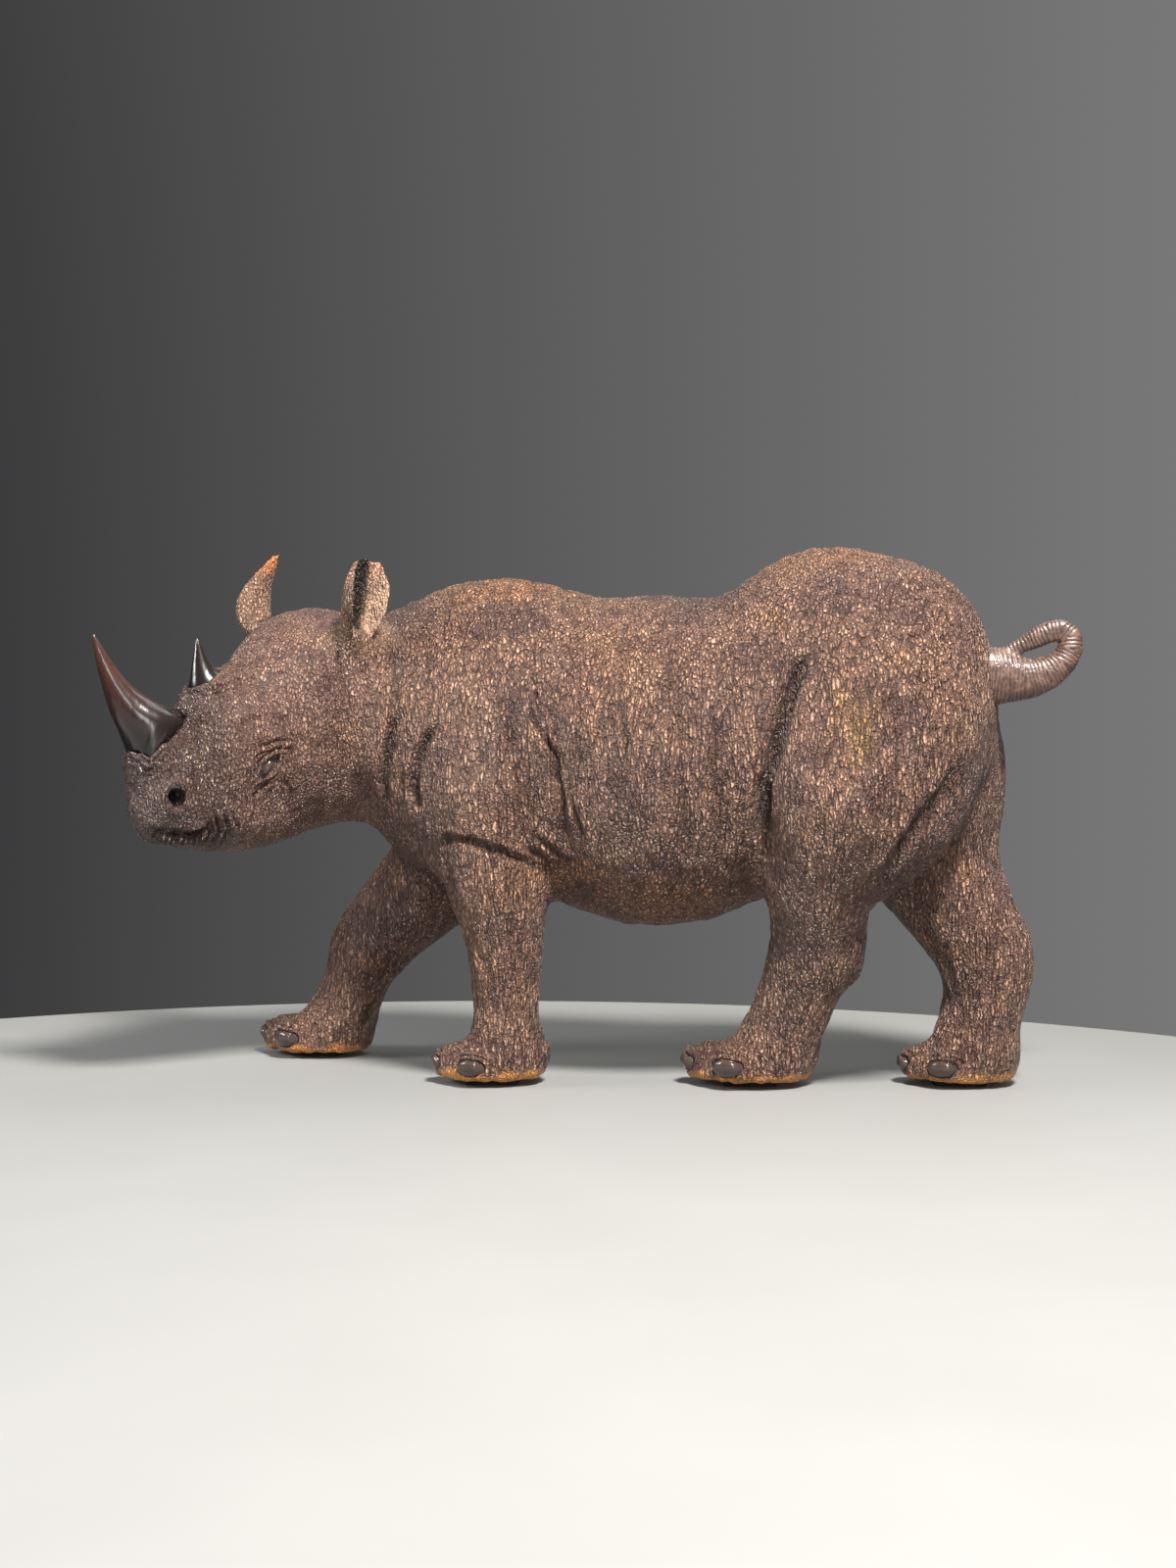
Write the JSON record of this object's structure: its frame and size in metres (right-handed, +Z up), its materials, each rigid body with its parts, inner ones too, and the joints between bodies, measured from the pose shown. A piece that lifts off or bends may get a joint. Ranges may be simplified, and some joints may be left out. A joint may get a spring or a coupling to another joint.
{
  "type": "carved rhinoceros figure",
  "caption": "Carved rhinoceros in mid-stride, head turned to its left, with polished let-in horns, cupped ears, a coiled tail and thin pads under its feet; it stands by its own weight.",
  "frame": {"origin": "on the floor, under the middle of the figure's bounding box", "axes": "+Z up, +X towards the tail (the beast walks towards -X), -Y towards its left flank, to which the head is turned"},
  "size_m": [0.5696, 0.2276, 0.3329],
  "materials": {
    "hide": "stained mid brown, fine wrinkled carving, worn tan at the edges",
    "horn": "polished near black, reddish brown towards the tip",
    "tail": "glossy reddish brown, ribbed across",
    "pad": "matte black"
  },
  "bodies": {
    "root": {"body": "hide", "front_horn": "horn", "rear_horn": "horn", "tail": "tail", "pad_front_left": "pad", "pad_front_right": "pad", "pad_hind_left": "pad", "pad_hind_right": "pad"}
  },
  "joints": []
}
